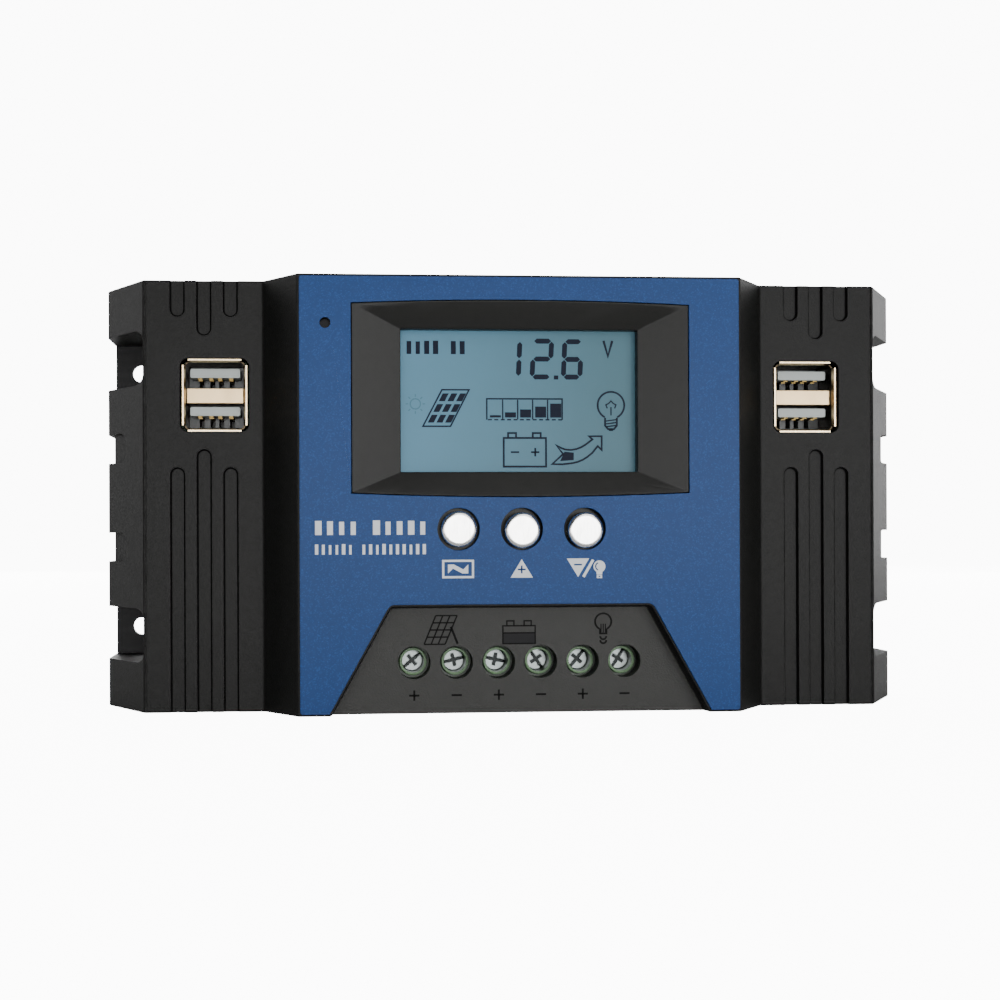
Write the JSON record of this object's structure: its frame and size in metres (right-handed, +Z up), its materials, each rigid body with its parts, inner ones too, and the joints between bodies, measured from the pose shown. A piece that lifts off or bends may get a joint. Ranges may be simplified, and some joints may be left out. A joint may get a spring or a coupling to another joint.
{
  "type": "charge controller",
  "caption": "Wall-mounted solar charge controller with a raised display front, push buttons, USB sockets on both wings and a row of screw terminals along the lower edge.",
  "frame": {"origin": "centre of the back face, in the plane that lies against the wall", "axes": "+X to the right as seen from the front, +Z up, the front faces -Y"},
  "size_m": [0.188, 0.048, 0.0974],
  "materials": {
    "housing_black": "fine spark-eroded texture, satin",
    "overlay_blue": "metallic speckled print, satin",
    "bezel_black": "satin",
    "lcd_front": "semi-gloss display film",
    "lcd_glass": "display cell",
    "white_plastic": "moulded",
    "button_chrome": "plated plastic, satin bright",
    "light_pipe": "smoked",
    "terminal_green": "moulded polyamide",
    "screw_steel": "zinc plated",
    "cage_steel": "zinc plated",
    "tin_copper": "tinned",
    "usb_shell": "nickel plated, warm",
    "usb_plastic": "moulded",
    "gold": "gold flash",
    "board_green": "solder resist",
    "can_dark": "shrink sleeve",
    "ferrite": "powder coat",
    "copper_wire": "enamelled",
    "chip_black": "epoxy",
    "fuse_orange": "moulded",
    "pad_grey": "silicone",
    "plate_aluminium": "black anodised",
    "black_screw": "black zinc"
  },
  "bodies": {
    "controller": {"front_housing": "housing_black", "front_overlay": "overlay_blue", "lcd_bezel": "bezel_black", "lcd_polariser": "lcd_front", "lcd_glass": "lcd_glass", "lcd_backlight": "white_plastic", "lcd_pins": "tin_copper", "switch_bodies": "chip_black", "light_pipe": "light_pipe", "status_led": "white_plastic", "terminal_block": "terminal_green", "terminal_bars": "tin_copper", "main_board": "board_green", "display_board": "board_green", "board_link": "tin_copper", "capacitors": "can_dark", "inductor_core": "ferrite", "inductor_winding": "copper_wire", "controller_chip": "chip_black", "small_chips": "chip_black", "fuses": "fuse_orange", "mosfet_bodies": "chip_black", "mosfet_legs": "tin_copper", "thermal_pad": "pad_grey", "board_posts": "screw_steel", "board_screws": "screw_steel", "display_screws": "screw_steel", "back_plate": "plate_aluminium", "back_screws": "black_screw", "usb_shell_left": "usb_shell", "usb_separator_left": "usb_shell", "usb_insulator_left": "usb_plastic", "usb_contacts_left": "gold", "usb_shell_right": "usb_shell", "usb_separator_right": "usb_shell", "usb_insulator_right": "usb_plastic", "usb_contacts_right": "gold"},
    "button_left": {"button_left": "button_chrome", "switch_plunger_left": "chip_black"},
    "button_centre": {"button_centre": "button_chrome", "switch_plunger_centre": "chip_black"},
    "button_right": {"button_right": "button_chrome", "switch_plunger_right": "chip_black"},
    "screw_1": {"clamp_screw_1": "screw_steel"},
    "cage_1": {"clamp_cage_1": "cage_steel"},
    "screw_2": {"clamp_screw_2": "screw_steel"},
    "cage_2": {"clamp_cage_2": "cage_steel"},
    "screw_3": {"clamp_screw_3": "screw_steel"},
    "cage_3": {"clamp_cage_3": "cage_steel"},
    "screw_4": {"clamp_screw_4": "screw_steel"},
    "cage_4": {"clamp_cage_4": "cage_steel"},
    "screw_5": {"clamp_screw_5": "screw_steel"},
    "cage_5": {"clamp_cage_5": "cage_steel"},
    "screw_6": {"clamp_screw_6": "screw_steel"},
    "cage_6": {"clamp_cage_6": "cage_steel"}
  },
  "joints": [
    {"name": "button_left_press", "type": "slide", "parent": "controller", "child": "button_left", "axis": [0, 1, 0], "range_m": [0, 0.0005], "stiffness_N_per_m": 1000, "springref_m": -0.0005},
    {"name": "button_centre_press", "type": "slide", "parent": "controller", "child": "button_centre", "axis": [0, 1, 0], "range_m": [0, 0.0005], "stiffness_N_per_m": 1000, "springref_m": -0.0005},
    {"name": "button_right_press", "type": "slide", "parent": "controller", "child": "button_right", "axis": [0, 1, 0], "range_m": [0, 0.0005], "stiffness_N_per_m": 1000, "springref_m": -0.0005},
    {"name": "cage_1_lift", "type": "slide", "parent": "controller", "child": "cage_1", "axis": [0, -1, 0], "range_m": [0, 0.0042]},
    {"name": "screw_1_turn", "type": "hinge", "parent": "controller", "child": "screw_1", "pos_m": [-0.02375, -0.032, -0.0374], "axis": [0, 1, 0], "range_deg": [0, 2521]},
    {"name": "cage_2_lift", "type": "slide", "parent": "controller", "child": "cage_2", "axis": [0, -1, 0], "range_m": [0, 0.0042]},
    {"name": "screw_2_turn", "type": "hinge", "parent": "controller", "child": "screw_2", "pos_m": [-0.01425, -0.032, -0.0374], "axis": [0, 1, 0], "range_deg": [0, 2521]},
    {"name": "cage_3_lift", "type": "slide", "parent": "controller", "child": "cage_3", "axis": [0, -1, 0], "range_m": [0, 0.0042]},
    {"name": "screw_3_turn", "type": "hinge", "parent": "controller", "child": "screw_3", "pos_m": [-0.00475, -0.032, -0.0374], "axis": [0, 1, 0], "range_deg": [0, 2521]},
    {"name": "cage_4_lift", "type": "slide", "parent": "controller", "child": "cage_4", "axis": [0, -1, 0], "range_m": [0, 0.0042]},
    {"name": "screw_4_turn", "type": "hinge", "parent": "controller", "child": "screw_4", "pos_m": [0.00475, -0.032, -0.0374], "axis": [0, 1, 0], "range_deg": [0, 2521]},
    {"name": "cage_5_lift", "type": "slide", "parent": "controller", "child": "cage_5", "axis": [0, -1, 0], "range_m": [0, 0.0042]},
    {"name": "screw_5_turn", "type": "hinge", "parent": "controller", "child": "screw_5", "pos_m": [0.01425, -0.032, -0.0374], "axis": [0, 1, 0], "range_deg": [0, 2521]},
    {"name": "cage_6_lift", "type": "slide", "parent": "controller", "child": "cage_6", "axis": [0, -1, 0], "range_m": [0, 0.0042]},
    {"name": "screw_6_turn", "type": "hinge", "parent": "controller", "child": "screw_6", "pos_m": [0.02375, -0.032, -0.0374], "axis": [0, 1, 0], "range_deg": [0, 2521]}
  ],
  "couplings": [
    {"joint": "screw_1_turn", "follows": "cage_1_lift", "rad_per_m": 10472},
    {"joint": "screw_2_turn", "follows": "cage_2_lift", "rad_per_m": 10472},
    {"joint": "screw_3_turn", "follows": "cage_3_lift", "rad_per_m": 10472},
    {"joint": "screw_4_turn", "follows": "cage_4_lift", "rad_per_m": 10472},
    {"joint": "screw_5_turn", "follows": "cage_5_lift", "rad_per_m": 10472},
    {"joint": "screw_6_turn", "follows": "cage_6_lift", "rad_per_m": 10472}
  ]
}
